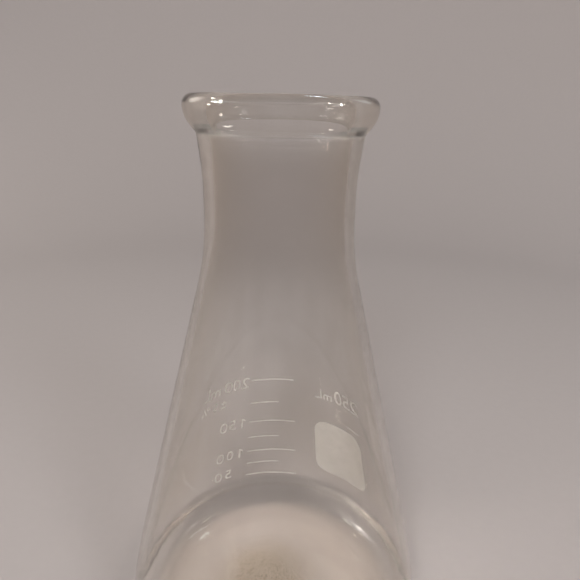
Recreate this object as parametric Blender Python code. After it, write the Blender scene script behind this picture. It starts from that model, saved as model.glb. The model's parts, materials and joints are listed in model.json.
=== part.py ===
"""A 250 mL conical laboratory flask: one blown glass body, and the enamel marks fired onto its back.

Frame: the origin is the centre of the foot, +Z runs up the axis, and the printed side faces +Y.
Every length is in metres. The marks' bearings are in degrees from +Y, positive towards +X.
"""

import math

import bmesh
import bpy
from mathutils import Matrix, Vector

# The glass body's driving dimensions.
HEIGHT = 0.142
BODY_RADIUS = 0.0418  # where the lower wall, carried down straight, would meet the table
NECK_RADIUS = 0.0172
RIM_RADIUS = 0.0211
CONE_SLOPE = 0.2465  # loss of radius per unit of height
CONE_WALL = 0.0019  # these two are measured level, from the axis outwards
NECK_WALL = 0.00225
FLOOR = 0.0024
HEEL_FILLET = 0.0078
PUNT_RADIUS = 0.0285  # the hollow under the base, inside the ring that the flask stands on
PUNT_RISE = 0.0016
SIDES = 48

# The outline's turning points, each given as its height.
BELLY_Z = 0.021  # the wall is a little rounder below this and a plain cone above it
NECK_TOP_Z = 0.125
LIP_Z = 0.1343
CONE_RADIUS_AT_BELLY = 0.0387
INNER_HEEL_TOP = (0.0391, 0.0100)  # the glass is thick between these two, where wall meets floor
INNER_FLOOR_RADIUS = 0.0335

FILL_STEP = 0.0001  # slice of height in which the inside's volume is added up

# The enamel.
ENAMEL = 0.00015
ENAMEL_GAP = 0.00015
GRID = 0.0025  # largest flat cell of a mark that is bent round the glass
LINE = 0.00045
LONG_TICK = (9.8, -17.6)
SHORT_TICK = (-0.6, -17.6)
LONG_MARKS_ML = (50, 100, 150, 200)
SHORT_MARKS_ML = (75, 125, 175)
NUMBER_OFFSETS = {50: 0.0026, 100: 0.0, 150: 0.0002, 200: -0.0006}  # above each one's line
DIGIT_HEIGHT = 0.0044
SMALL_HEIGHT = 0.0033
CAPACITY_HEIGHT = 0.0052
CAPACITY_UNIT_HEIGHT = 0.0036
M_SHARE = 0.62  # height of the letter m, as a share of the L beside it
FIRST_DIGIT = -22.0  # bearing of each number's first digit
DIGIT_STEP = -6.0
UNIT_BEARINGS = (-43.3, -50.5)  # of the m and the L after the last number
TOLERANCE_DROP = 0.0063  # below that number
SIGN_BEARING = -36.2
TOLERANCE_DIGIT_BEARING = -42.1
PERCENT_BEARINGS = (-47.6, -50.0, -52.4)  # of the upper ring, the slash and the lower ring
SPOT_BEARING = 38.1
SPOT_WIDTH = 0.0206
SPOT_LOW, SPOT_HIGH = 0.0195, 0.0432
SPOT_CORNER = 0.0048
CAPACITY_Z = 0.0556
CAPACITY_FIRST = 53.4
CAPACITY_STEP = -6.7
CAPACITY_UNIT_BEARINGS = (31.9, 25.8)
RULE_BEARING = 49.6
RULE_Z = 0.0454
RULE_LENGTH = 0.0053


def clear_scene():
    for obj in list(bpy.data.objects):
        bpy.data.objects.remove(obj)


def make_material(name, colour, roughness, transmission=0.0):
    material = bpy.data.materials.new(name)
    material.use_nodes = True
    shader = material.node_tree.nodes["Principled BSDF"]
    shader.inputs["Base Color"].default_value = (*colour, 1.0)
    shader.inputs["Roughness"].default_value = roughness
    shader.inputs["Metallic"].default_value = 0.0
    shader.inputs["Transmission Weight"].default_value = transmission
    shader.inputs["IOR"].default_value = 1.473
    return material


def add_object(name, mesh, material):
    mesh.materials.append(material)
    obj = bpy.data.objects.new(name, mesh)
    bpy.context.scene.collection.objects.link(obj)
    return obj


# ---------------------------------------------------------------- outline of the glass


def filleted(corner, before, after, radius, steps):
    """Points of the arc that rounds a corner of the outline, tangent to both of its sides."""
    to_before = (before - corner).normalized()
    to_after = (after - corner).normalized()
    half = to_before.angle(to_after) / 2
    start = corner + to_before * radius / math.tan(half)
    centre = corner + (to_before + to_after).normalized() * radius / math.sin(half)
    spoke = start - centre
    turn = math.pi - 2 * half
    if to_before.x * to_after.y - to_before.y * to_after.x > 0:
        turn = -turn
    return [centre + Matrix.Rotation(turn * i / steps, 2) @ spoke for i in range(steps + 1)]


def rounded(corners):
    """A path of (radius, height) points through corners (radius, height, fillet, steps)."""
    places = [Vector(corner[:2]) for corner in corners]
    path = [places[0]]
    for i in range(1, len(corners) - 1):
        fillet, steps = corners[i][2:]
        path += filleted(places[i], places[i - 1], places[i + 1], fillet, steps)
    return path + [places[-1]]


def cone_radius(z, wall=0.0):
    """Radius of the plain cone at height z, on the outside or that much further in."""
    return CONE_RADIUS_AT_BELLY - CONE_SLOPE * (z - BELLY_Z) - wall


def cone_height(radius, wall=0.0):
    """Height at which the plain cone has this radius."""
    return BELLY_Z + (CONE_RADIUS_AT_BELLY - wall - radius) / CONE_SLOPE


def dome(edge_z, rise, radii):
    """Points of the shallow dome in the base, at these radii."""
    return [Vector((r, edge_z + rise * (1 - (r / PUNT_RADIUS) ** 2))) for r in radii]


def outer_path():
    """The outside, from the foot's ring to the top of the lip."""
    return rounded([
        (PUNT_RADIUS, 0.0, 0, 0),
        (BODY_RADIUS, 0.0, HEEL_FILLET, 6),
        (cone_radius(BELLY_Z), BELLY_Z, 0.200, 4),
        (NECK_RADIUS, cone_height(NECK_RADIUS), 0.065, 5),
        (NECK_RADIUS, NECK_TOP_Z, 0.060, 3),
        (0.01835, LIP_Z, 0.0006, 2),
        (RIM_RADIUS, 0.1372, 0.0065, 4),
        (RIM_RADIUS, HEIGHT, 0.0022, 4),
        (0.0185, HEIGHT, 0, 0),
    ])


def inner_path():
    """The inside, from the lip down to the edge of the floor's dome."""
    bore = NECK_RADIUS - NECK_WALL
    return rounded([
        (0.0185, HEIGHT, 0, 0),
        (0.0164, HEIGHT, 0.0020, 4),
        (0.0159, 0.1345, 0.0120, 2),
        (0.0152, 0.1300, 0.0150, 2),
        (bore, 0.1220, 0.060, 2),
        (bore, cone_height(bore, CONE_WALL), 0.065, 4),
        (cone_radius(BELLY_Z, CONE_WALL), BELLY_Z, 0.150, 3),
        (*INNER_HEEL_TOP, 0.0120, 4),
        (INNER_FLOOR_RADIUS, FLOOR, 0.0075, 4),
        (PUNT_RADIUS, FLOOR, 0, 0),
    ])


def radius_on(path, z):
    """Radius at height z on the stretch of a path where the wall leans inwards as it rises."""
    for low, high in zip(path, path[1:]):
        if low.y <= z <= high.y:
            return low.x + (high.x - low.x) * (z - low.y) / (high.y - low.y)
    raise ValueError(f"the path doesn't reach {z}")


def fill_height(millilitres):
    """Height of the surface when the flask holds this much, from the volume inside the glass."""
    inside = list(reversed(inner_path()))
    held = -math.pi * PUNT_RADIUS**2 * PUNT_RISE / 2
    z = FLOOR
    while held < millilitres * 1e-6:
        held += math.pi * radius_on(inside, z + FILL_STEP / 2) ** 2 * FILL_STEP
        z += FILL_STEP
    return z


def build_body(material):
    """The whole flask, spun in one piece from a section that starts and ends on the axis."""
    dome_radii = [PUNT_RADIUS * share for share in (0.0, 0.4, 0.75)]
    section = dome(0.0, PUNT_RISE, dome_radii) + outer_path()
    section += inner_path()[1:] + dome(FLOOR, PUNT_RISE, reversed(dome_radii))
    mesh = bmesh.new()
    points = [mesh.verts.new((p.x, 0.0, p.y)) for p in section]
    edges = [mesh.edges.new(pair) for pair in zip(points, points[1:])]
    bmesh.ops.spin(
        mesh, geom=points + edges, axis=(0, 0, 1), cent=(0, 0, 0), angle=math.tau, steps=SIDES
    )
    bmesh.ops.remove_doubles(mesh, verts=mesh.verts, dist=1e-6)
    bmesh.ops.recalc_face_normals(mesh, faces=mesh.faces)
    data = bpy.data.meshes.new("flask_body")
    mesh.to_mesh(data)
    mesh.free()
    data.shade_smooth()
    data.set_sharp_from_angle(angle=math.radians(40))
    return add_object("flask_body", data, material)


# ---------------------------------------------------------------- enamel marks


class Wrap:
    """Bends a flat drawing round the glass: x runs along the wall to the reader's right, y up it."""

    def __init__(self, bearing, z):
        self.path = outer_path()
        self.bearing = math.radians(bearing)
        self.z = z
        self.turn_radius = radius_on(self.path, z)
        self.lean = math.atan(CONE_SLOPE)

    def place(self, flat, lift):
        z = self.z + flat.y * math.cos(self.lean)
        radius = radius_on(self.path, z) + lift * math.cos(self.lean)
        angle = self.bearing - flat.x / self.turn_radius
        height = z + lift * math.sin(self.lean)
        return Vector((radius * math.sin(angle), radius * math.cos(angle), height))


def add_mark(name, drawing, wrap, material):
    """Turns a flat drawing, a bmesh of faces at z 0, into one thin closed plate on the glass."""
    for axis in (0, 1):
        values = [v.co[axis] for v in drawing.verts]
        cuts = range(math.floor(min(values) / GRID), math.ceil(max(values) / GRID) + 1)
        normal = Vector((1, 0, 0)) if axis == 0 else Vector((0, 1, 0))
        for cut in cuts:
            geometry = drawing.verts[:] + drawing.edges[:] + drawing.faces[:]
            bmesh.ops.bisect_plane(
                drawing, geom=geometry, plane_co=normal * cut * GRID, plane_no=normal, dist=1e-6
            )
    bmesh.ops.triangulate(drawing, faces=drawing.faces)
    under = drawing.faces[:]
    grown = bmesh.ops.extrude_face_region(drawing, geom=under, use_keep_orig=True)
    over = {item for item in grown["geom"] if isinstance(item, bmesh.types.BMVert)}
    for vert in drawing.verts:
        lift = ENAMEL_GAP + (ENAMEL if vert in over else 0.0)
        vert.co = wrap.place(vert.co, lift)
    bmesh.ops.recalc_face_normals(drawing, faces=drawing.faces)
    data = bpy.data.meshes.new(name)
    drawing.to_mesh(data)
    drawing.free()
    return add_object(name, data, material)


def polygon(points):
    """A drawing of one flat face."""
    drawing = bmesh.new()
    drawing.faces.new([drawing.verts.new((x, y, 0.0)) for x, y in points])
    return drawing


def bar(length, width):
    """A drawing of a plain line, centred on the origin."""
    x, y = length / 2, width / 2
    return polygon([(-x, -y), (x, -y), (x, y), (-x, y)])


def cross(length, width):
    """A drawing of a plus sign, centred on the origin."""
    x, y = length / 2, width / 2
    return polygon([
        (-x, -y), (-y, -y), (-y, -x), (y, -x), (y, -y), (x, -y),
        (x, y), (y, y), (y, x), (-y, x), (-y, y), (-x, y),
    ])


def digit_one(height):
    """A drawing of a 1 with a flag, centred on the origin."""
    top, stroke, reach = height / 2, height * 0.13, height * 0.24
    return polygon([
        (0, -top), (stroke, -top), (stroke, top), (stroke * 0.3, top),
        (-reach, top - reach), (-reach, top - reach - stroke), (0, top - reach * 0.75),
    ])


def rounded_rectangle(width, height, corner, steps):
    """A drawing of a rectangle with round corners, centred on the origin."""
    points = []
    for quarter in range(4):
        side_x = 1 if quarter in (0, 3) else -1
        side_y = 1 if quarter in (0, 1) else -1
        for step in range(steps + 1):
            angle = math.pi / 2 * (quarter + step / steps)
            x = side_x * (width / 2 - corner) + corner * math.cos(angle)
            y = side_y * (height / 2 - corner) + corner * math.sin(angle)
            points.append((x, y))
    return polygon(points)


def font_glyph(character, height):
    """A drawing of one character of the built-in typeface, centred on the origin."""
    text = bpy.data.curves.new("glyph", type="FONT")
    text.body = character
    text.resolution_u = 3
    holder = bpy.data.objects.new("glyph", text)
    bpy.context.scene.collection.objects.link(holder)
    flat = bpy.data.meshes.new_from_object(holder)
    bpy.data.objects.remove(holder)
    bpy.data.curves.remove(text)
    drawing = bmesh.new()
    drawing.from_mesh(flat)
    bpy.data.meshes.remove(flat)
    bmesh.ops.remove_doubles(drawing, verts=drawing.verts, dist=1e-4)
    xs = [v.co.x for v in drawing.verts]
    ys = [v.co.y for v in drawing.verts]
    scale = height / (max(ys) - min(ys))
    middle = Vector(((max(xs) + min(xs)) / 2, (max(ys) + min(ys)) / 2, 0.0))
    for vert in drawing.verts:
        vert.co = (vert.co - middle) * scale
        vert.co.z = 0.0
    return drawing


def build_number(prefix, digits, bearing, step, z, height, material):
    """A number's digits, one node each, spaced evenly round the glass."""
    for index, digit in enumerate(digits):
        drawing = digit_one(height) if digit == "1" else font_glyph(digit, height)
        wrap = Wrap(bearing + index * step, z)
        add_mark(f"{prefix}_digit_{index + 1}", drawing, wrap, material)


def build_unit(prefix, bearings, z, height, material):
    """The letters mL, standing on one line."""
    m_z = z - (1 - M_SHARE) * height / 2
    add_mark(f"{prefix}_m", font_glyph("m", height * M_SHARE), Wrap(bearings[0], m_z), material)
    add_mark(f"{prefix}_l", font_glyph("L", height), Wrap(bearings[1], z), material)


def build_tick(millilitres, ends, material):
    z = fill_height(millilitres)
    left, right = ends
    length = math.radians(left - right) * radius_on(outer_path(), z)
    add_mark(f"tick_{millilitres}_ml", bar(length, LINE), Wrap((left + right) / 2, z), material)


def build_tolerance(z, material):
    """The sign for plus or minus, a 5, and a percent sign."""
    stroke = SMALL_HEIGHT * 0.14
    sign = SMALL_HEIGHT * 0.62
    low = z - SMALL_HEIGHT / 2 + stroke / 2
    add_mark("tolerance_plus", cross(sign, stroke), Wrap(SIGN_BEARING, z + 0.0004), material)
    add_mark("tolerance_minus", bar(sign, stroke), Wrap(SIGN_BEARING, low), material)
    digit = font_glyph("5", SMALL_HEIGHT)
    add_mark("tolerance_5", digit, Wrap(TOLERANCE_DIGIT_BEARING, z), material)
    upper, middle, lower = PERCENT_BEARINGS
    ring = SMALL_HEIGHT * 0.48
    rise = (SMALL_HEIGHT - ring) / 2
    add_mark("percent_upper_ring", font_glyph("0", ring), Wrap(upper, z + rise), material)
    add_mark("percent_lower_ring", font_glyph("0", ring), Wrap(lower, z - rise), material)
    slash = bar(SMALL_HEIGHT * 1.05, stroke)
    bmesh.ops.rotate(slash, verts=slash.verts, matrix=Matrix.Rotation(math.radians(62), 3, "Z"))
    add_mark("percent_slash", slash, Wrap(middle, z), material)


def build_scale(material):
    """The graduation: its lines, and the numbers on the reader's right of the long ones."""
    for millilitres in LONG_MARKS_ML:
        build_tick(millilitres, LONG_TICK, material)
    for millilitres in SHORT_MARKS_ML:
        build_tick(millilitres, SHORT_TICK, material)
    for millilitres in LONG_MARKS_ML:
        z = fill_height(millilitres) + NUMBER_OFFSETS[millilitres]
        digits = str(millilitres)
        first = FIRST_DIGIT if len(digits) == 3 else FIRST_DIGIT + DIGIT_STEP
        prefix = f"scale_{digits}"
        build_number(prefix, digits, first, DIGIT_STEP, z, DIGIT_HEIGHT, material)
    build_unit("scale_unit", UNIT_BEARINGS, z, DIGIT_HEIGHT, material)
    build_tolerance(z - TOLERANCE_DROP, material)


def build_label(material):
    """The capacity above the rough white spot that is kept for writing on."""
    first, step, height = CAPACITY_FIRST, CAPACITY_STEP, CAPACITY_HEIGHT
    build_number("capacity", "250", first, step, CAPACITY_Z, height, material)
    unit_z = CAPACITY_Z - (CAPACITY_HEIGHT - CAPACITY_UNIT_HEIGHT) / 2
    bearings = CAPACITY_UNIT_BEARINGS
    build_unit("capacity_unit", bearings, unit_z, CAPACITY_UNIT_HEIGHT, material)
    add_mark("label_rule", bar(RULE_LENGTH, LINE), Wrap(RULE_BEARING, RULE_Z), material)
    slant = math.cos(math.atan(CONE_SLOPE))
    spot = rounded_rectangle(SPOT_WIDTH, (SPOT_HIGH - SPOT_LOW) / slant, SPOT_CORNER, 5)
    add_mark("marking_spot", spot, Wrap(SPOT_BEARING, (SPOT_LOW + SPOT_HIGH) / 2), material)


def main():
    clear_scene()
    glass = make_material("borosilicate_glass", (0.93, 0.92, 0.88), 0.02, transmission=1.0)
    enamel = make_material("white_enamel", (0.80, 0.78, 0.72), 0.45)
    build_body(glass)
    build_scale(enamel)
    build_label(enamel)


main()
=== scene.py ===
"""Looks for a 250 mL conical flask of clear glass with a white enamel graduation on its back."""

import json
import math

import bmesh
import bpy
from mathutils import Matrix, Vector, noise

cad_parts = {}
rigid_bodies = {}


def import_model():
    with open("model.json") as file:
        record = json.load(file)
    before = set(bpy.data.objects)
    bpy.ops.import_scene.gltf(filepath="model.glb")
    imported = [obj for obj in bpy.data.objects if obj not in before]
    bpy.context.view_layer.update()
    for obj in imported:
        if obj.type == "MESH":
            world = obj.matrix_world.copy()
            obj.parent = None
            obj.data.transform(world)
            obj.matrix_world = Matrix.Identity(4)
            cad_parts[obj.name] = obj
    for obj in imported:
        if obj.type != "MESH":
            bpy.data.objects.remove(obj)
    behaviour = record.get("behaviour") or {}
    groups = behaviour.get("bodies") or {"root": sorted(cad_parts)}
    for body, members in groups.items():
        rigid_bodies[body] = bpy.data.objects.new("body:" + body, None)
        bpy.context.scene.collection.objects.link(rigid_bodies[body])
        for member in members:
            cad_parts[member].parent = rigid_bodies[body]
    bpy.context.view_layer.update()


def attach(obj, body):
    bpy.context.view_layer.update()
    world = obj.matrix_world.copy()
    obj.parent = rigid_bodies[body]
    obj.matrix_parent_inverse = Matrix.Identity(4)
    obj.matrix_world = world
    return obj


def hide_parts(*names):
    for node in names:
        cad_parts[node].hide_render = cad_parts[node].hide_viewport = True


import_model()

# ---------------------------------------------------------------- sizes, in metres, as the CAD has them
HEIGHT = 0.142
BODY_RADIUS = 0.0418  # where the lower wall, carried down straight, would meet the paper
NECK_RADIUS = 0.0172
RIM_RADIUS = 0.0211
CONE_SLOPE = 0.2465  # loss of radius per unit of height
CONE_WALL = 0.0019
NECK_WALL = 0.00225
FLOOR = 0.0024
HEEL_FILLET = 0.0078
PUNT_RADIUS = 0.0285  # the hollow under the base, inside the ring that the flask stands on
PUNT_RISE = 0.0016
BELLY_Z = 0.021
NECK_TOP_Z = 0.125
LIP_Z = 0.1343
CONE_RADIUS_AT_BELLY = 0.0387
INNER_HEEL_TOP = (0.0391, 0.0100)  # the glass is thick between these two, where wall meets floor
INNER_FLOOR_RADIUS = 0.0335

# How finely the glass is drawn.
SIDES = 240
DOME_RINGS = 12
LONGEST_STEP = 0.0018  # along the outline, between arcs
FILL_STEP = 0.0001  # slice of height in which the inside's volume is added up
FOOT_GAP = 0.0001  # keeps the glass from lying in the same plane as the paper

# Unevenness of blown glass: share, rate round the wall, rate up it, and place in the noise.
RIPPLES = ((0.55, 3.2, 5, 0), (0.25, 9.0, 9, 4), (0.6, 0.9, 26, 9))
OUTER_RIPPLE = 0.00003
INNER_RIPPLE = 0.000055
INNER_NECK_RIPPLE = 0.00005  # on top of it, in the neck
FLOOR_RIPPLE = 0.00008
LIP_WAVE = 0.00012
OUTER_SEED, INNER_SEED, FLOOR_SEED, LIP_SEED = 21.0, 3.0, 8.0, 5.0

# The enamel. Bearings are in degrees from +Y, positive towards +X.
ENAMEL_ROOT = -0.00001  # it starts a little inside the glass
ENAMEL_TOP = 0.00004
GRID = 0.0008  # largest flat cell of a mark that is bent round the glass
SPOT_GRID = 0.0012
WANDER = 0.00005  # of a mark's edge
SPOT_WANDER = 0.00012
LINE = 0.00045
LONG_TICK = (9.8, -17.6)
SHORT_TICK = (-0.6, -17.6)
MARKS_ML = (50, 75, 100, 125, 150, 175, 200)
NUMBER_OFFSETS = {50: 0.0026, 100: 0.0, 150: 0.0002, 200: -0.0006}  # above each one's line
DIGIT_HEIGHT = 0.0044
SMALL_HEIGHT = 0.0033
CAPACITY_HEIGHT = 0.0052
CAPACITY_UNIT_HEIGHT = 0.0036
M_SHARE = 0.62  # height of the letter m, as a share of the L beside it
FIRST_DIGIT = -22.0  # bearing of each number's first digit
DIGIT_STEP = -6.0
UNIT_BEARINGS = (-43.3, -50.5)  # of the m and the L after the last number
TOLERANCE_DROP = 0.0063  # below that number
SIGN_BEARING = -36.2
SIGN_RISE = 0.0004
TOLERANCE_DIGIT_BEARING = -42.1
PERCENT_BEARINGS = (-47.6, -50.0, -52.4)  # of the upper ring, the slash and the lower ring
SLASH_LEAN = 62
SPOT_BEARING = 38.1
SPOT_WIDTH = 0.0206
SPOT_LOW, SPOT_HIGH = 0.0195, 0.0432
SPOT_CORNER = 0.0048
SPOT_STEPS = 12  # in each rounded corner
CAPACITY_Z = 0.0556
CAPACITY_FIRST = 53.4
CAPACITY_STEP = -6.7
CAPACITY_UNIT_BEARINGS = (31.9, 25.8)
RULE_BEARING = 49.6
RULE_Z = 0.0454
RULE_LENGTH = 0.0053


# ---------------------------------------------------------------- outline


def filleted(corner, before, after, radius, steps):
    """Points of the arc that rounds a corner of the outline, tangent to both of its sides."""
    to_before = (before - corner).normalized()
    to_after = (after - corner).normalized()
    half = to_before.angle(to_after) / 2
    start = corner + to_before * radius / math.tan(half)
    centre = corner + (to_before + to_after).normalized() * radius / math.sin(half)
    spoke = start - centre
    turn = math.pi - 2 * half
    if to_before.x * to_after.y - to_before.y * to_after.x > 0:
        turn = -turn
    return [centre + Matrix.Rotation(turn * i / steps, 2) @ spoke for i in range(steps + 1)]


def rounded(corners):
    """A path of (radius, height) points through corners (radius, height, fillet, steps)."""
    places = [Vector(corner[:2]) for corner in corners]
    path = [places[0]]
    for i in range(1, len(corners) - 1):
        fillet, steps = corners[i][2:]
        path += filleted(places[i], places[i - 1], places[i + 1], fillet, steps)
    return path + [places[-1]]


def cone_radius(z, wall=0.0):
    """Radius of the plain cone at height z, on the outside or that much further in."""
    return CONE_RADIUS_AT_BELLY - CONE_SLOPE * (z - BELLY_Z) - wall


def cone_height(radius, wall=0.0):
    """Height at which the plain cone has this radius."""
    return BELLY_Z + (CONE_RADIUS_AT_BELLY - wall - radius) / CONE_SLOPE


def dome(edge_z, radii):
    """Points of the shallow dome in the base, at these radii."""
    return [Vector((r, edge_z + PUNT_RISE * (1 - (r / PUNT_RADIUS) ** 2))) for r in radii]


def outer_path():
    """The outside, from the foot's ring to the top of the lip."""
    return rounded([
        (PUNT_RADIUS, 0.0, 0, 0),
        (BODY_RADIUS, 0.0, HEEL_FILLET, 18),
        (cone_radius(BELLY_Z), BELLY_Z, 0.200, 10),
        (NECK_RADIUS, cone_height(NECK_RADIUS), 0.065, 14),
        (NECK_RADIUS, NECK_TOP_Z, 0.060, 8),
        (0.01835, LIP_Z, 0.0006, 6),
        (RIM_RADIUS, 0.1372, 0.0065, 12),
        (RIM_RADIUS, HEIGHT, 0.0022, 12),
        (0.0185, HEIGHT, 0, 0),
    ])


def inner_path():
    """The inside, from the top of the lip down to the floor."""
    bore = NECK_RADIUS - NECK_WALL
    return rounded([
        (0.0185, HEIGHT, 0, 0),
        (0.0164, HEIGHT, 0.0020, 12),
        (0.0159, 0.1345, 0.0120, 8),
        (0.0152, 0.1300, 0.0150, 8),
        (bore, 0.1220, 0.060, 6),
        (bore, cone_height(bore, CONE_WALL), 0.065, 12),
        (cone_radius(BELLY_Z, CONE_WALL), BELLY_Z, 0.150, 8),
        (*INNER_HEEL_TOP, 0.0120, 14),
        (INNER_FLOOR_RADIUS, FLOOR, 0.0075, 14),
        (PUNT_RADIUS, FLOOR, 0, 0),
    ])


OUTER = outer_path()
INNER = inner_path()


def radius_on(path, z):
    for low, high in zip(path, path[1:]):
        if low.y <= z <= high.y:
            return low.x + (high.x - low.x) * (z - low.y) / (high.y - low.y)
    raise ValueError(f"the path doesn't reach {z}")


def fill_height(millilitres):
    """Height to which this volume fills the flask."""
    inside = list(reversed(INNER))
    held = -math.pi * PUNT_RADIUS**2 * PUNT_RISE / 2
    z = FLOOR
    while held < millilitres * 1e-6:
        held += math.pi * radius_on(inside, z + FILL_STEP / 2) ** 2 * FILL_STEP
        z += FILL_STEP
    return z


def subdivided(path):
    """The same path with its long straight stretches cut up."""
    fine = [path[0]]
    for start, end in zip(path, path[1:]):
        pieces = max(1, math.ceil((end - start).length / LONGEST_STEP))
        fine += [start.lerp(end, i / pieces) for i in range(1, pieces + 1)]
    return fine


# ---------------------------------------------------------------- glass


def smoothstep(low, high, value):
    t = min(1.0, max(0.0, (value - low) / (high - low)))
    return t * t * (3 - 2 * t)


def ripple(angle, z, seed):
    """Long streaks up the wall and slow waves, about -1 to 1."""
    spot = Vector((math.cos(angle), math.sin(angle), 0.0))
    layers = (
        share * noise.noise(spot * round_rate + Vector((seed, shift, z * up_rate)))
        for share, round_rate, up_rate, shift in RIPPLES
    )
    return sum(layers)


def outer_ripple(angle, z):
    """How far the outside stands off its true surface of revolution."""
    return OUTER_RIPPLE * ripple(angle, z, OUTER_SEED) * smoothstep(0.004, 0.012, z)


def glass_point(place, angle, inside):
    """A point of the wall, moved a little off the true surface of revolution."""
    r, z = place
    if inside:
        depth = INNER_RIPPLE + INNER_NECK_RIPPLE * smoothstep(0.09, 0.12, z)
        off_axis = smoothstep(0.002, 0.012, r)
        on_floor = 1 - smoothstep(0.004, 0.012, z)
        r -= depth * ripple(angle, z, INNER_SEED) * off_axis
        z += FLOOR_RIPPLE * ripple(angle, 0.0, FLOOR_SEED) * off_axis * on_floor
    else:
        r += outer_ripple(angle, z)
        z += FOOT_GAP * (1 - smoothstep(0.0, 0.004, z))
    wave = noise.noise(Vector((math.cos(angle), math.sin(angle), LIP_SEED)) * 1.3)
    z += LIP_WAVE * wave * smoothstep(0.130, 0.139, z)
    return (r * math.sin(angle), r * math.cos(angle), z)


def build_glass():
    dome_radii = [PUNT_RADIUS * i / DOME_RINGS for i in range(DOME_RINGS)]
    outside = dome(0.0, dome_radii) + subdivided(OUTER)
    inside = subdivided(INNER)[1:] + dome(FLOOR, reversed(dome_radii))
    section = [(p, False) for p in outside] + [(p, True) for p in inside]
    mesh = bmesh.new()
    rings = []
    for place, is_inside in section:
        if place.x < 1e-9:
            rings.append([mesh.verts.new((0, 0, place.y))])
            continue
        angles = (math.tau * i / SIDES for i in range(SIDES))
        rings.append([mesh.verts.new(glass_point(place, a, is_inside)) for a in angles])
    for low, high in zip(rings, rings[1:]):
        for i in range(SIDES):
            j = (i + 1) % SIDES
            corners = [low[i % len(low)], low[j % len(low)], high[j % len(high)], high[i % len(high)]]
            mesh.faces.new(list(dict.fromkeys(corners)))
    bmesh.ops.recalc_face_normals(mesh, faces=mesh.faces)
    data = bpy.data.meshes.new("glass_flask")
    mesh.to_mesh(data)
    mesh.free()
    data.shade_smooth()
    piece = bpy.data.objects.new("glass_flask", data)
    bpy.context.scene.collection.objects.link(piece)
    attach(piece, "root")
    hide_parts("flask_body")
    return piece


# ---------------------------------------------------------------- enamel


class Wrap:
    """Bends a flat drawing round the glass: x runs to the reader's right, y up the wall."""

    def __init__(self, bearing, z):
        self.bearing = math.radians(bearing)
        self.z = z
        self.turn_radius = radius_on(OUTER, z)
        self.lean = math.atan(CONE_SLOPE)

    def place(self, flat, lift):
        """The point that stands this far off the glass, over a point of the drawing."""
        z = self.z + flat.y * math.cos(self.lean)
        angle = self.bearing - flat.x / self.turn_radius
        radius = radius_on(OUTER, z) + outer_ripple(angle, z) + lift * math.cos(self.lean)
        height = z + lift * math.sin(self.lean)
        return Vector((radius * math.sin(angle), radius * math.cos(angle), height))


def roughen(drawing, amount):
    """Moves the drawing's outline a little, as a screen print's edge wanders."""
    for vert in drawing.verts:
        if vert.is_boundary:
            spot = vert.co * 2600
            vert.co.x += amount * noise.noise(spot + Vector((3, 7, 1)))
            vert.co.y += amount * noise.noise(spot + Vector((11, 2, 6)))


def cut_up(drawing, grid):
    """Cuts a flat drawing along the lines of a square grid, so that it can bend."""
    for axis, normal in enumerate((Vector((1, 0, 0)), Vector((0, 1, 0)))):
        values = [v.co[axis] for v in drawing.verts]
        for cut in range(math.floor(min(values) / grid), math.ceil(max(values) / grid) + 1):
            geometry = drawing.verts[:] + drawing.edges[:] + drawing.faces[:]
            bmesh.ops.bisect_plane(
                drawing, geom=geometry, plane_co=normal * cut * grid, plane_no=normal, dist=1e-7
            )


def add_mark(node, drawing, wrap, material, grid=GRID, edge=WANDER):
    """Wraps a flat drawing round the glass as a thin closed plate of enamel."""
    cut_up(drawing, grid)
    roughen(drawing, edge)
    bmesh.ops.triangulate(drawing, faces=drawing.faces)
    grown = bmesh.ops.extrude_face_region(drawing, geom=drawing.faces[:], use_keep_orig=True)
    over = {item for item in grown["geom"] if isinstance(item, bmesh.types.BMVert)}
    for vert in drawing.verts:
        vert.co = wrap.place(vert.co, ENAMEL_TOP if vert in over else ENAMEL_ROOT)
    bmesh.ops.recalc_face_normals(drawing, faces=drawing.faces)
    data = bpy.data.meshes.new(f"enamel_{node}")
    drawing.to_mesh(data)
    drawing.free()
    data.shade_smooth()
    data.set_sharp_from_angle(angle=math.radians(40))
    piece = bpy.data.objects.new(f"enamel_{node}", data)
    piece.data.materials.append(material)
    bpy.context.scene.collection.objects.link(piece)
    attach(piece, "root")
    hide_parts(node)


def polygon(points):
    drawing = bmesh.new()
    drawing.faces.new([drawing.verts.new((x, y, 0.0)) for x, y in points])
    return drawing


def bar(length, width):
    x, y = length / 2, width / 2
    return polygon([(-x, -y), (x, -y), (x, y), (-x, y)])


def cross(length, width):
    """A plus sign."""
    x, y = length / 2, width / 2
    return polygon([
        (-x, -y), (-y, -y), (-y, -x), (y, -x), (y, -y), (x, -y),
        (x, y), (y, y), (y, x), (-y, x), (-y, y), (-x, y),
    ])


def digit_one(height):
    top, stroke, reach = height / 2, height * 0.13, height * 0.24
    return polygon([
        (0, -top), (stroke, -top), (stroke, top), (stroke * 0.3, top),
        (-reach, top - reach), (-reach, top - reach - stroke), (0, top - reach * 0.75),
    ])


def rounded_rectangle(width, height, corner, steps):
    points = []
    for quarter in range(4):
        side_x = 1 if quarter in (0, 3) else -1
        side_y = 1 if quarter in (0, 1) else -1
        for step in range(steps + 1):
            angle = math.pi / 2 * (quarter + step / steps)
            x = side_x * (width / 2 - corner) + corner * math.cos(angle)
            y = side_y * (height / 2 - corner) + corner * math.sin(angle)
            points.append((x, y))
    return polygon(points)


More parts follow.
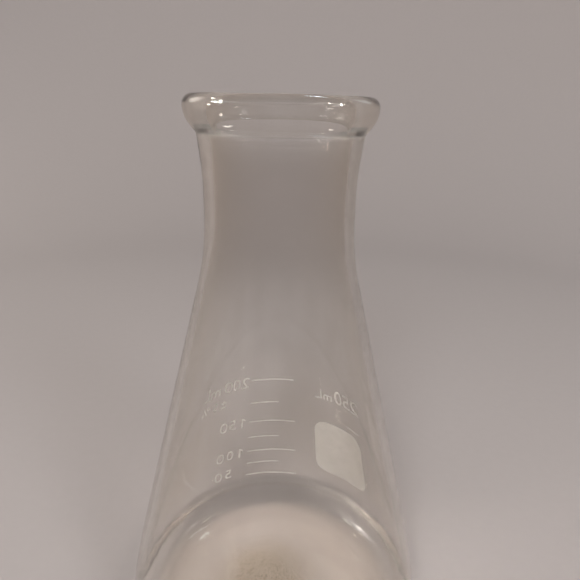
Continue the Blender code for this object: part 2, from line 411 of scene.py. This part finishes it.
def font_glyph(character, height):
    """A character of the built-in font as a flat mesh, centred, this tall."""
    text = bpy.data.curves.new("glyph", type="FONT")
    text.body = character
    text.resolution_u = 8
    holder = bpy.data.objects.new("glyph", text)
    bpy.context.scene.collection.objects.link(holder)
    flat = bpy.data.meshes.new_from_object(holder)
    bpy.data.objects.remove(holder)
    bpy.data.curves.remove(text)
    drawing = bmesh.new()
    drawing.from_mesh(flat)
    bpy.data.meshes.remove(flat)
    bmesh.ops.remove_doubles(drawing, verts=drawing.verts, dist=1e-4)
    xs = [v.co.x for v in drawing.verts]
    ys = [v.co.y for v in drawing.verts]
    scale = height / (max(ys) - min(ys))
    middle = Vector(((max(xs) + min(xs)) / 2, (max(ys) + min(ys)) / 2, 0.0))
    for vert in drawing.verts:
        vert.co = (vert.co - middle) * scale
        vert.co.z = 0.0
    return drawing


def glyph(character, height):
    return digit_one(height) if character == "1" else font_glyph(character, height)


def build_number(prefix, digits, bearing, step, z, height, material):
    for index, digit in enumerate(digits):
        wrap = Wrap(bearing + index * step, z)
        add_mark(f"{prefix}_digit_{index + 1}", glyph(digit, height), wrap, material)


def build_unit(prefix, bearings, z, height, material):
    """The letters mL, standing on one line."""
    m_z = z - (1 - M_SHARE) * height / 2
    add_mark(f"{prefix}_m", glyph("m", height * M_SHARE), Wrap(bearings[0], m_z), material)
    add_mark(f"{prefix}_l", glyph("L", height), Wrap(bearings[1], z), material)


def build_tolerance(z, height, material):
    """The tolerance, plus or minus 5 %."""
    stroke = height * 0.14
    sign = height * 0.62
    ring = height * 0.48
    low = z - height / 2 + stroke / 2
    rise = (height - ring) / 2
    upper, middle, lower = PERCENT_BEARINGS
    add_mark("tolerance_plus", cross(sign, stroke), Wrap(SIGN_BEARING, z + SIGN_RISE), material)
    add_mark("tolerance_minus", bar(sign, stroke), Wrap(SIGN_BEARING, low), material)
    add_mark("tolerance_5", glyph("5", height), Wrap(TOLERANCE_DIGIT_BEARING, z), material)
    add_mark("percent_upper_ring", glyph("0", ring), Wrap(upper, z + rise), material)
    add_mark("percent_lower_ring", glyph("0", ring), Wrap(lower, z - rise), material)
    slash = bar(height * 1.05, stroke)
    lean = Matrix.Rotation(math.radians(SLASH_LEAN), 3, "Z")
    bmesh.ops.rotate(slash, verts=slash.verts, matrix=lean)
    add_mark("percent_slash", slash, Wrap(middle, z), material)


def build_ticks(material):
    for millilitres in MARKS_ML:
        left, right = LONG_TICK if millilitres in NUMBER_OFFSETS else SHORT_TICK
        z = fill_height(millilitres)
        length = math.radians(left - right) * radius_on(OUTER, z)
        wrap = Wrap((left + right) / 2, z)
        add_mark(f"tick_{millilitres}_ml", bar(length, LINE), wrap, material)


def build_scale_numbers(material):
    """The numbers beside the long lines, with the unit and the tolerance after the last one."""
    for millilitres, offset in NUMBER_OFFSETS.items():
        z = fill_height(millilitres) + offset
        digits = str(millilitres)
        first = FIRST_DIGIT + DIGIT_STEP * (3 - len(digits))
        build_number(f"scale_{digits}", digits, first, DIGIT_STEP, z, DIGIT_HEIGHT, material)
    build_unit("scale_unit", UNIT_BEARINGS, z, DIGIT_HEIGHT, material)
    build_tolerance(z - TOLERANCE_DROP, SMALL_HEIGHT, material)


def build_capacity(material):
    unit_z = CAPACITY_Z - (CAPACITY_HEIGHT - CAPACITY_UNIT_HEIGHT) / 2
    build_number("capacity", "250", CAPACITY_FIRST, CAPACITY_STEP, CAPACITY_Z, CAPACITY_HEIGHT, material)
    build_unit("capacity_unit", CAPACITY_UNIT_BEARINGS, unit_z, CAPACITY_UNIT_HEIGHT, material)
    add_mark("label_rule", bar(RULE_LENGTH, LINE), Wrap(RULE_BEARING, RULE_Z), material)


def build_spot(material):
    up_the_wall = (SPOT_HIGH - SPOT_LOW) / math.cos(math.atan(CONE_SLOPE))
    spot = rounded_rectangle(SPOT_WIDTH, up_the_wall, SPOT_CORNER, SPOT_STEPS)
    wrap = Wrap(SPOT_BEARING, (SPOT_LOW + SPOT_HIGH) / 2)
    add_mark("marking_spot", spot, wrap, material, grid=SPOT_GRID, edge=SPOT_WANDER)


def build_print(material):
    build_ticks(material)
    build_scale_numbers(material)
    build_capacity(material)
    build_spot(material)


# ---------------------------------------------------------------- materials

# Tints of the glass where a ray crosses its surface.
CLEAN = (0.955, 0.955, 0.955)
HAZY = (0.90, 0.895, 0.885)
STREAKED = (0.87, 0.865, 0.86)
# Painted shade: the neck is tinted darker for the shadow of the cloth behind it, not for any dirt on the
# glass.
NECK_PAINTED_SHADE = (0.79, 0.775, 0.765)
GRAZED_BODY = (0.84, 0.78, 0.68)
GRAZED_LIP = (0.83, 0.73, 0.57)
CLEAR_HEEL = (1.0, 0.99, 0.98)
FILM = (0.97, 0.91, 0.80)
SPECK = (0.62, 0.56, 0.48)
INSIDE_GLASS = (0.87, 0.80, 0.70, 1.0)
GLASS_DENSITY = 30.0

# Tints for the light that reaches other things straight through the glass.
LIT_STRAIGHT = (1.0, 0.99, 0.98)
LIT_GRAZED = (0.40, 0.38, 0.37)
LIT_HEEL = (0.22, 0.22, 0.23)
LIT_FLOOR = (1.17, 1.14, 1.11)  # over 1, so that the paper inside the foot comes out pale

# Heights between which each change of the glass takes place.
# The neck's painted shade comes in between the first pair of heights and lifts to a quarter towards the
# mouth.
NECK_SHADE_BEGINS = (0.085, 0.115)
NECK_SHADE_LIFTS = (0.128, 0.134)
LIP_BROWNS = (0.100, 0.134)
HEEL_CLEARS = (0.006, 0.030)
FILM_ENDS = (0.006, 0.009)
WALL_SMEARS = (0.008, 0.014)
HEEL_SCUFF_ENDS = (0.011, 0.015)
SEAM_STARTS = (0.1330, 0.1341)
SEAM_ENDS = (0.1350, 0.1358)
LIT_HEEL_STARTS = (0.0030, 0.0045)
LIT_HEEL_ENDS = (0.008, 0.013)
LIT_FLOOR_ENDS = (0.0026, 0.0045)

FILM_CENTRE = (-0.0035, 0.005, 0.0)
FILM_FADES = (0.010, 0.0235)  # distances from that centre
HEEL_SCUFF_STARTS = (0.0375, 0.0386)  # distances from the axis

ENAMEL_PALE = (0.68, 0.675, 0.665)
ENAMEL_WORN = (0.62, 0.61, 0.60)
PAPER = (0.430, 0.396, 0.388)
PAPER_FIBRE = (0.412, 0.378, 0.370)


def set_range(node, low, high, to_low, to_high):
    for key, number in zip(("From Min", "From Max", "To Min", "To Max"), (low, high, to_low, to_high)):
        node.inputs[key].default_value = number


class Nodes:
    """A short way to write a node tree."""

    def __init__(self, name):
        self.material = bpy.data.materials.new(name)
        self.material.use_nodes = True
        self.tree = self.material.node_tree
        self.shader = self.tree.nodes["Principled BSDF"]
        self.output = self.tree.nodes["Material Output"]
        self.object_space = self.add("ShaderNodeTexCoord").outputs["Object"]

    def add(self, kind, **settings):
        node = self.tree.nodes.new(kind)
        for key, value in settings.items():
            setattr(node, key, value)
        return node

    def link(self, source, target):
        self.tree.links.new(source, target)

    def height(self):
        parts = self.add("ShaderNodeSeparateXYZ")
        self.link(self.object_space, parts.inputs["Vector"])
        return parts.outputs["Z"]

    def noise(self, scale, detail=4.0, roughness=0.5, stretch=(1, 1, 1)):
        mapping = self.add("ShaderNodeMapping")
        mapping.inputs["Scale"].default_value = stretch
        self.link(self.object_space, mapping.inputs["Vector"])
        texture = self.add("ShaderNodeTexNoise")
        texture.inputs["Scale"].default_value = scale
        texture.inputs["Detail"].default_value = detail
        texture.inputs["Roughness"].default_value = roughness
        self.link(mapping.outputs["Vector"], texture.inputs["Vector"])
        return texture.outputs["Fac"]

    def distance_from(self, centre):
        """Level distance from an upright line through this point."""
        away = self.add("ShaderNodeVectorMath", operation="SUBTRACT")
        self.link(self.object_space, away.inputs[0])
        away.inputs[1].default_value = centre
        flat = self.add("ShaderNodeVectorMath", operation="MULTIPLY")
        flat.inputs[1].default_value = (1, 1, 0)
        self.link(away.outputs["Vector"], flat.inputs[0])
        reach = self.add("ShaderNodeVectorMath", operation="LENGTH")
        self.link(flat.outputs["Vector"], reach.inputs[0])
        return reach.outputs["Value"]

    def spread(self, value, low, high, to_low=0.0, to_high=1.0):
        """Passes smoothly from to_low to to_high while the value goes from low to high."""
        node = self.add("ShaderNodeMapRange", interpolation_type="SMOOTHSTEP")
        set_range(node, low, high, to_low, to_high)
        self.link(value, node.inputs["Value"])
        return node.outputs["Result"]

    def maths(self, operation, first, second):
        node = self.add("ShaderNodeMath", operation=operation)
        for socket, value in zip(node.inputs, (first, second)):
            if isinstance(value, (int, float)):
                socket.default_value = value
            else:
                self.link(value, socket)
        return node.outputs["Value"]

    def mix(self, factor, first, second):
        node = self.add("ShaderNodeMix", data_type="RGBA")
        self.link(factor, node.inputs["Factor"])
        sockets = [s for s in node.inputs if s.type == "RGBA"]
        for socket, value in zip(sockets, (first, second)):
            if isinstance(value, tuple):
                socket.default_value = (*value, 1.0)
            else:
                self.link(value, socket)
        return next(s for s in node.outputs if s.type == "RGBA")

    def bump(self, height, distance, strength=1.0):
        node = self.add("ShaderNodeBump")
        node.inputs["Strength"].default_value = strength
        node.inputs["Distance"].default_value = distance
        self.link(height, node.inputs["Height"])
        self.link(node.outputs["Normal"], self.shader.inputs["Normal"])

    def set(self, **values):
        for key, value in values.items():
            self.shader.inputs[key.replace("_", " ")].default_value = value


def film_masks(nodes, height):
    """A thin dried film on the floor, uneven towards its edge, and the specks in it."""
    wander = nodes.maths("MULTIPLY", nodes.noise(120, detail=5), 0.010)
    edge = nodes.maths("ADD", nodes.distance_from(FILM_CENTRE), wander)
    disc = nodes.spread(edge, *FILM_FADES, 1.0, 0.0)
    film = nodes.maths("MULTIPLY", disc, nodes.spread(height, *FILM_ENDS, 1.0, 0.0))
    dots = nodes.spread(nodes.noise(1700, detail=2), 0.57, 0.65, 0.0, 0.9)
    return film, nodes.maths("MULTIPLY", film, dots)


def glass_tint(nodes, height):
    haze = nodes.spread(nodes.noise(45, detail=5, stretch=(1, 1, 0.3)), 0.35, 0.7)
    streak = nodes.spread(nodes.noise(260, detail=3, stretch=(1, 1, 0.04)), 0.35, 0.65)
    tint = nodes.mix(haze, CLEAN, HAZY)
    tint = nodes.mix(nodes.maths("MULTIPLY", streak, 0.5), tint, STREAKED)
    # Painted shade: the neck is tinted darker for the shadow of the cloth behind it, less so at the
    # mouth.
    neck = nodes.spread(height, *NECK_SHADE_BEGINS)
    neck_shade = nodes.maths("MULTIPLY", neck, nodes.spread(height, *NECK_SHADE_LIFTS, 1.0, 0.25))
    tint = nodes.mix(neck_shade, tint, NECK_PAINTED_SHADE)
    rim = nodes.add("ShaderNodeLayerWeight")
    rim.inputs["Blend"].default_value = 0.30
    grazed = nodes.mix(nodes.spread(height, *LIP_BROWNS), GRAZED_BODY, GRAZED_LIP)
    tint = nodes.mix(nodes.maths("MULTIPLY", rim.outputs["Facing"], 0.85), tint, grazed)
    tint = nodes.mix(nodes.spread(height, *HEEL_CLEARS, 1.0, 0.0), tint, CLEAR_HEEL)
    film, specks = film_masks(nodes, height)
    return nodes.mix(specks, nodes.mix(film, tint, FILM), SPECK)


def glass_roughness(nodes, height):
    """Wiped smears on the wall, a scuffed heel, and a seam under the lip that is not quite clear."""
    smears = nodes.noise(46, detail=6, roughness=0.6, stretch=(1, 1, 0.35))
    smears = nodes.spread(smears, 0.45, 0.75, 0.005, 0.03)
    smears = nodes.maths("MULTIPLY", smears, nodes.spread(height, *WALL_SMEARS, 0.25, 1.0))
    radius = nodes.distance_from((0.0, 0.0, 0.0))
    scuffs = nodes.spread(radius, *HEEL_SCUFF_STARTS, 0.0, 0.18)
    scuffs = nodes.maths("MULTIPLY", scuffs, nodes.spread(height, *HEEL_SCUFF_ENDS, 1.0, 0.0))
    seam = nodes.spread(height, *SEAM_STARTS, 0.0, 0.20)
    seam = nodes.maths("MULTIPLY", seam, nodes.spread(height, *SEAM_ENDS, 1.0, 0.0))
    return nodes.maths("ADD", nodes.maths("ADD", smears, scuffs), seam)


def pass_lamps(nodes, height):
    """Lets rays to the lamps through the glass: weakly where they graze it or meet the thick heel."""
    weight = nodes.add("ShaderNodeLayerWeight")
    weight.inputs["Blend"].default_value = 0.35
    tint = nodes.mix(weight.outputs["Facing"], LIT_STRAIGHT, LIT_GRAZED)
    above_foot = nodes.spread(height, *LIT_HEEL_STARTS)
    heel = nodes.maths("MULTIPLY", above_foot, nodes.spread(height, *LIT_HEEL_ENDS, 1.0, 0.0))
    floor = nodes.spread(height, *LIT_FLOOR_ENDS, 1.0, 0.0)
    tint = nodes.mix(floor, nodes.mix(heel, tint, LIT_HEEL), LIT_FLOOR)
    straight = nodes.add("ShaderNodeBsdfTransparent")
    nodes.link(tint, straight.inputs["Color"])
    path = nodes.add("ShaderNodeLightPath")
    either = nodes.add("ShaderNodeMixShader")
    nodes.link(path.outputs["Is Shadow Ray"], either.inputs[0])
    nodes.link(nodes.shader.outputs["BSDF"], either.inputs[1])
    nodes.link(straight.outputs["BSDF"], either.inputs[2])
    nodes.link(either.outputs["Shader"], nodes.output.inputs["Surface"])


def glass_material():
    nodes = Nodes("clear_glass")
    nodes.set(Transmission_Weight=0.99, IOR=1.473)
    height = nodes.height()
    nodes.link(glass_tint(nodes, height), nodes.shader.inputs["Base Color"])
    nodes.link(glass_roughness(nodes, height), nodes.shader.inputs["Roughness"])
    nodes.bump(nodes.noise(240, detail=3, stretch=(1, 1, 0.05)), 0.000012)
    absorb = nodes.add("ShaderNodeVolumeAbsorption")
    absorb.inputs["Color"].default_value = INSIDE_GLASS
    absorb.inputs["Density"].default_value = GLASS_DENSITY
    nodes.link(absorb.outputs["Volume"], nodes.output.inputs["Volume"])
    pass_lamps(nodes, height)
    return nodes.material


def enamel_material():
    nodes = Nodes("white_enamel")
    patches = nodes.noise(420, detail=5, roughness=0.6)
    colour = nodes.mix(nodes.spread(patches, 0.35, 0.7), ENAMEL_PALE, ENAMEL_WORN)
    nodes.link(colour, nodes.shader.inputs["Base Color"])
    nodes.link(nodes.spread(patches, 0.3, 0.7, 0.35, 0.6), nodes.shader.inputs["Roughness"])
    nodes.bump(nodes.noise(2600, detail=3), 0.000012)
    return nodes.material


def paper_material():
    nodes = Nodes("pale_paper")
    fibre = nodes.noise(260, detail=5)
    nodes.link(nodes.mix(fibre, PAPER, PAPER_FIBRE), nodes.shader.inputs["Base Color"])
    nodes.set(Roughness=0.85, Specular_IOR_Level=0.25)
    nodes.bump(fibre, 0.0001, 0.5)
    return nodes.material


# ---------------------------------------------------------------- stage, lights and camera

BOWL_FLAT = 0.42  # radius of its level floor
BOWL_BEND = 0.5
BOWL_STEPS = 24  # up the bend
BOWL_TURNS = 96
ROOM = (1.0, 0.96, 0.93, 1.0)
ROOM_STRENGTHS = (0.24, 0.32)  # level and overhead
ROOM_SEEN = (0.337, 0.303, 0.291, 1.0)

MIDDLE = (0, 0, 0.10)  # of the flask
BEHIND = (0, 0.1, 0.06)
WHITE = (1.0, 0.98, 0.96)
SOFT = (1.0, 0.97, 0.95)
WARM = (1.0, 0.93, 0.84)
SHINE = "glossy transmission"

CAMERA_PLACE = (0.002742, -0.11932, 0.13974)
CAMERA_TILT = 0.33599  # radians below level
CAMERA_ROLL = 0.02215
CAMERA_LENS = 32.5552  # millimetres, on a sensor 36 mm wide


def build_stage():
    """A round pale floor that sweeps up into a wall on every side."""
    profile = [(0.0, 0.0), (0.2, 0.0), (BOWL_FLAT, 0.0)]
    for step in range(1, BOWL_STEPS + 1):
        angle = math.pi / 2 * step / BOWL_STEPS
        rise = BOWL_BEND - BOWL_BEND * math.cos(angle)
        profile.append((BOWL_FLAT + BOWL_BEND * math.sin(angle), rise))
    mesh = bmesh.new()
    points = [mesh.verts.new((r, 0.0, z)) for r, z in profile]
    edges = [mesh.edges.new(pair) for pair in zip(points, points[1:])]
    bmesh.ops.spin(
        mesh, geom=points + edges, axis=(0, 0, 1), cent=(0, 0, 0), angle=math.tau, steps=BOWL_TURNS
    )
    bmesh.ops.remove_doubles(mesh, verts=mesh.verts, dist=1e-6)
    bmesh.ops.recalc_face_normals(mesh, faces=mesh.faces)
    data = bpy.data.meshes.new("paper_bowl")
    mesh.to_mesh(data)
    mesh.free()
    data.shade_smooth()
    data.materials.append(paper_material())
    bowl = bpy.data.objects.new("paper_bowl", data)
    bpy.context.scene.collection.objects.link(bowl)


def softened(tree):
    """A lamp's strength, brightest in its middle and fading out at its edge."""
    across = tree.nodes.new("ShaderNodeNewGeometry").outputs["Parametric"]
    centred = tree.nodes.new("ShaderNodeVectorMath")
    centred.operation = "DISTANCE"
    centred.inputs[1].default_value = (0.5, 0.5, 0.0)
    tree.links.new(across, centred.inputs[0])
    fade = tree.nodes.new("ShaderNodeMapRange")
    fade.interpolation_type = "SMOOTHSTEP"
    set_range(fade, 0.1, 0.5, 2.2, 0.0)
    tree.links.new(centred.outputs["Value"], fade.inputs["Value"])
    return fade.outputs["Result"]


def only_highlights(tree, strength):
    """The same strength, but none for rays that have met paper or enamel."""
    path = tree.nodes.new("ShaderNodeLightPath")
    first = tree.nodes.new("ShaderNodeMath")
    first.operation = "LESS_THAN"
    first.inputs[1].default_value = 0.5
    tree.links.new(path.outputs["Diffuse Depth"], first.inputs[0])
    product = tree.nodes.new("ShaderNodeMath")
    product.operation = "MULTIPLY"
    tree.links.new(first.outputs["Value"], product.inputs[0])
    tree.links.new(strength, product.inputs[1])
    return product.outputs["Value"]


def add_light(name, place, target, size, power, colour, seen_by):
    """A round lamp or softbox. seen_by names the rays that it shows to; bare keeps it to highlights."""
    light = bpy.data.lights.new(name, type="AREA")
    light.shape = "ELLIPSE"
    light.size, light.size_y = size
    light.energy = power
    light.color = colour
    light.use_nodes = True
    tree = light.node_tree
    strength = softened(tree)
    if "bare" in seen_by:
        strength = only_highlights(tree, strength)
    tree.links.new(strength, tree.nodes["Emission"].inputs["Strength"])
    holder = bpy.data.objects.new(name, light)
    holder.location = place
    aim = Vector(target) - Vector(place)
    holder.rotation_euler = aim.to_track_quat("-Z", "Y").to_euler()
    holder.visible_camera = False
    holder.visible_diffuse = "diffuse" in seen_by
    holder.visible_glossy = "glossy" in seen_by
    holder.visible_transmission = "transmission" in seen_by
    bpy.context.scene.collection.objects.link(holder)


def build_world():
    """A dim room, a little brighter overhead. Seen past the paper's edge it has the paper's colour."""
    world = bpy.data.worlds.new("dim_room")
    world.use_nodes = True
    tree = world.node_tree
    coordinates = tree.nodes.new("ShaderNodeTexCoord")
    parts = tree.nodes.new("ShaderNodeSeparateXYZ")
    tree.links.new(coordinates.outputs["Generated"], parts.inputs["Vector"])
    lift = tree.nodes.new("ShaderNodeMapRange")
    lift.interpolation_type = "SMOOTHSTEP"
    set_range(lift, 0.3, 1.0, *ROOM_STRENGTHS)
    tree.links.new(parts.outputs["Z"], lift.inputs["Value"])
    room = tree.nodes["Background"]
    room.inputs["Color"].default_value = ROOM
    tree.links.new(lift.outputs["Result"], room.inputs["Strength"])
    seen = tree.nodes.new("ShaderNodeBackground")
    seen.inputs["Color"].default_value = ROOM_SEEN
    path = tree.nodes.new("ShaderNodeLightPath")
    either = tree.nodes.new("ShaderNodeMixShader")
    tree.links.new(path.outputs["Is Camera Ray"], either.inputs[0])
    tree.links.new(room.outputs["Background"], either.inputs[1])
    tree.links.new(seen.outputs["Background"], either.inputs[2])
    tree.links.new(either.outputs["Shader"], tree.nodes["World Output"].inputs["Surface"])
    bpy.context.scene.world = world


def towards(bearing, elevation, distance):
    """A place seen from the flask's middle: bearing 0 is behind the camera, positive to the right."""
    across, up = math.radians(bearing), math.radians(elevation)
    level = distance * math.cos(up)
    return (level * math.sin(across), -level * math.cos(across), MIDDLE[2] + distance * math.sin(up))


def build_softboxes():
    """These light the paper and the enamel. The panels and the card also show on the glass."""
    panel = "diffuse glossy"
    cool = (0.84, 0.93, 1.0)
    left_floor = (-0.07, -0.02, 0.0)
    add_light("front_softbox", towards(-14, 28, 1.15), BEHIND, (0.54, 0.43), 15.0, SOFT, "diffuse")
    add_light("fill_softbox", towards(40, 30, 1.15), BEHIND, (0.5, 0.5), 7.4, SOFT, "diffuse")
    add_light("left_panel", towards(-118, 24, 0.75), MIDDLE, (0.45, 0.5), 0.9, WARM, panel)
    add_light("right_panel", towards(125, 32, 0.75), MIDDLE, (0.35, 0.45), 0.22, cool, panel)
    add_light("right_card", towards(66, 18, 0.75), MIDDLE, (0.22, 0.3), 0.25, WHITE, panel)
    add_light("left_glow", (-0.30, -0.14, 0.22), left_floor, (0.16, 0.16), 0.15, SOFT, "diffuse")


def build_lamps():
    """These make the highlights. The bare ones do nothing else."""
    bare = SHINE + " bare"
    amber, blue = (1.0, 0.90, 0.76), (0.74, 0.88, 1.0)
    warm_white, clear_white = (1.0, 0.92, 0.82), (1.0, 0.99, 0.97)
    add_light("left_lamp", towards(-100, 43, 0.75), MIDDLE, (0.09, 0.07), 0.6, amber, SHINE)
    add_light("side_window", towards(-79, 25, 0.75), MIDDLE, (0.20, 0.055), 2.2, (1.0, 0.98, 0.95), SHINE)
    add_light("low_lamp", towards(-84, 8, 0.65), MIDDLE, (0.07, 0.06), 0.5, WARM, SHINE)
    add_light("back_window", towards(150, 61, 0.9), MIDDLE, (0.26, 0.08), 0.9, blue, SHINE)
    add_light("right_lamp", towards(62, 35, 0.75), MIDDLE, (0.08, 0.06), 0.5, warm_white, SHINE)
    add_light("right_window", towards(74, 26, 0.75), MIDDLE, (0.14, 0.06), 3.2, (1.0, 0.96, 0.90), bare)
    add_light("heel_lamp", towards(-71, 22, 0.75), MIDDLE, (0.07, 0.035), 6.0, clear_white, bare)
    add_light("heel_lamp_above", towards(-73, 33, 0.75), MIDDLE, (0.07, 0.03), 4.0, clear_white, bare)


def aim_lamps_at(glass):
    """Lets the highlight lamps light the glass only, not the enamel or the paper."""
    receivers = bpy.data.collections.new("lit_by_lamps")
    receivers.objects.link(glass)
    for holder in bpy.data.objects:
        if holder.type == "LIGHT" and holder.visible_transmission:
            holder.light_linking.receiver_collection = receivers


def build_camera():
    camera = bpy.data.cameras.new("camera")
    camera.sensor_width = 36.0
    camera.lens = CAMERA_LENS
    camera.clip_start = 0.005
    holder = bpy.data.objects.new("camera", camera)
    tilt = Matrix.Rotation(math.pi / 2 - CAMERA_TILT, 4, "X")
    roll = Matrix.Rotation(CAMERA_ROLL, 4, "Z")
    holder.matrix_world = Matrix.Translation(CAMERA_PLACE) @ tilt @ roll
    bpy.context.scene.collection.objects.link(holder)
    bpy.context.scene.camera = holder


build_camera()
build_world()
build_softboxes()
build_lamps()
build_stage()
glass = build_glass()
glass.data.materials.append(glass_material())
aim_lamps_at(glass)
build_print(enamel_material())
bpy.context.scene.view_settings.view_transform = "Standard"
